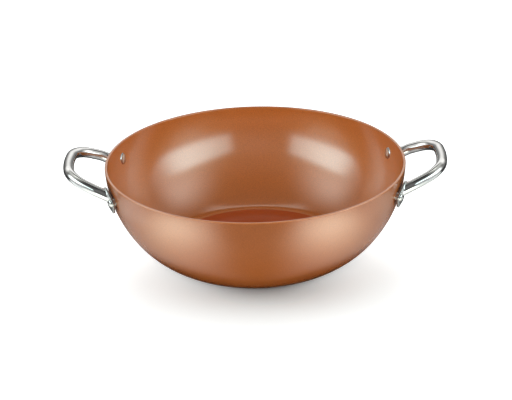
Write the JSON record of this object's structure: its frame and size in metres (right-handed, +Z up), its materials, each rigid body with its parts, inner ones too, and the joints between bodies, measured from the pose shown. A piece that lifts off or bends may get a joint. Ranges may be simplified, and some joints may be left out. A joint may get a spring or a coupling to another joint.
{
  "type": "stir-fry pan",
  "caption": "Deep round stir-fry pan with a flat base, a curved copper-coloured wall, and riveted loop handles of bent steel tube on opposite sides.",
  "frame": {"origin": "centre of the base, on the surface that the pan stands on", "axes": "+X through the middle of the right handle, +Y to the rear, +Z up through the open mouth"},
  "size_m": [0.382, 0.3, 0.1044],
  "materials": {
    "copper_coat": "pressed aluminium with a satin copper-coloured coat, fine metallic grain",
    "spun_steel": "turned stainless steel with fine concentric lines",
    "polished_steel": "mirror-polished stainless tube",
    "stamped_steel": "stamped and lightly polished stainless plate",
    "rivet_steel": "polished rivet heads"
  },
  "bodies": {
    "root": {"pan_body": "copper_coat", "base_disc": "spun_steel", "left_handle_tube": "polished_steel", "right_handle_tube": "polished_steel", "left_front_bracket": "stamped_steel", "left_rear_bracket": "stamped_steel", "right_front_bracket": "stamped_steel", "right_rear_bracket": "stamped_steel", "left_front_rivet": "rivet_steel", "left_rear_rivet": "rivet_steel", "right_front_rivet": "rivet_steel", "right_rear_rivet": "rivet_steel"}
  },
  "joints": []
}
